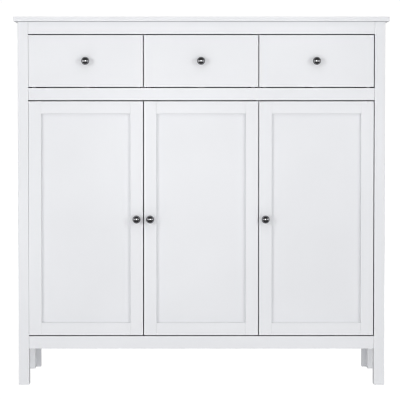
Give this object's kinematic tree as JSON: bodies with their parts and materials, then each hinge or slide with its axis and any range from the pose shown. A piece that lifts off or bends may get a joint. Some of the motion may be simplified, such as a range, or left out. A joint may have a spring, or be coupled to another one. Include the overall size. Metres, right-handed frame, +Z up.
{
  "type": "sideboard buffet",
  "caption": "Tall white sideboard buffet with a row of drawers over frame-and-panel cupboard doors on four square legs, with dark ball knobs.",
  "frame": {"origin": "on the floor under the middle of the cabinet's outline", "axes": "+X to the cabinet's right as seen from the front, +Y towards its back, +Z up"},
  "size_m": [1.2, 0.418, 1.181],
  "materials": {
    "white_paint": "satin white paint on fibreboard and solid wood",
    "white_foil_board": "matt white foil on board",
    "back_board": "matt white thin fibreboard",
    "runner_plastic": "matt plastic",
    "knob_metal": "polished black nickel",
    "hinge_steel": "nickel-plated pressed steel"
  },
  "bodies": {
    "cabinet": {"top_panel": "white_paint", "front_leg_left": "white_paint", "rear_leg_left": "white_paint", "side_panel_left": "white_paint", "front_leg_right": "white_paint", "rear_leg_right": "white_paint", "side_panel_right": "white_paint", "top_rail": "white_paint", "middle_rail": "white_paint", "bottom_rail": "white_paint", "bottom_panel": "white_foil_board", "drawer_deck": "white_foil_board", "centre_partition": "white_foil_board", "drawer_divider_left": "white_foil_board", "drawer_divider_right": "white_foil_board", "shelf_left": "white_foil_board", "shelf_right": "white_foil_board", "back_panel": "back_board", "drawer_runner_left": "runner_plastic", "drawer_runner_centre": "runner_plastic", "drawer_runner_right": "runner_plastic", "door_left_hinge_arm_top": "hinge_steel", "door_left_hinge_arm_bottom": "hinge_steel", "door_centre_hinge_arm_top": "hinge_steel", "door_centre_hinge_arm_bottom": "hinge_steel", "door_right_hinge_arm_top": "hinge_steel", "door_right_hinge_arm_bottom": "hinge_steel"},
    "drawer_left": {"drawer_left_front": "white_paint", "drawer_left_side_left": "white_foil_board", "drawer_left_side_right": "white_foil_board", "drawer_left_back": "white_foil_board", "drawer_left_bottom": "back_board", "drawer_left_knob": "knob_metal"},
    "drawer_centre": {"drawer_centre_front": "white_paint", "drawer_centre_side_left": "white_foil_board", "drawer_centre_side_right": "white_foil_board", "drawer_centre_back": "white_foil_board", "drawer_centre_bottom": "back_board", "drawer_centre_knob": "knob_metal"},
    "drawer_right": {"drawer_right_front": "white_paint", "drawer_right_side_left": "white_foil_board", "drawer_right_side_right": "white_foil_board", "drawer_right_back": "white_foil_board", "drawer_right_bottom": "back_board", "drawer_right_knob": "knob_metal"},
    "door_left": {"door_left_frame": "white_paint", "door_left_panel": "white_paint", "door_left_knob": "knob_metal", "door_left_hinge_cup_top": "hinge_steel", "door_left_hinge_cup_bottom": "hinge_steel"},
    "door_centre": {"door_centre_frame": "white_paint", "door_centre_panel": "white_paint", "door_centre_knob": "knob_metal", "door_centre_hinge_cup_top": "hinge_steel", "door_centre_hinge_cup_bottom": "hinge_steel"},
    "door_right": {"door_right_frame": "white_paint", "door_right_panel": "white_paint", "door_right_knob": "knob_metal", "door_right_hinge_cup_top": "hinge_steel", "door_right_hinge_cup_bottom": "hinge_steel"}
  },
  "joints": [
    {"name": "drawer_left_slide", "type": "slide", "parent": "cabinet", "child": "drawer_left", "axis": [0, -1, 0], "range_m": [0, 0.25]},
    {"name": "drawer_centre_slide", "type": "slide", "parent": "cabinet", "child": "drawer_centre", "axis": [0, -1, 0], "range_m": [0, 0.25]},
    {"name": "drawer_right_slide", "type": "slide", "parent": "cabinet", "child": "drawer_right", "axis": [0, -1, 0], "range_m": [0, 0.25]},
    {"name": "door_left_hinge", "type": "hinge", "parent": "cabinet", "child": "door_left", "pos_m": [-0.554, -0.1805, 0.535], "axis": [0, 0, -1], "range_deg": [0, 100]},
    {"name": "door_centre_hinge", "type": "hinge", "parent": "cabinet", "child": "door_centre", "pos_m": [0.182, -0.1805, 0.535], "axis": [0, 0, 1], "range_deg": [0, 100]},
    {"name": "door_right_hinge", "type": "hinge", "parent": "cabinet", "child": "door_right", "pos_m": [0.5515, -0.1805, 0.535], "axis": [0, 0, 1], "range_deg": [0, 100]}
  ]
}
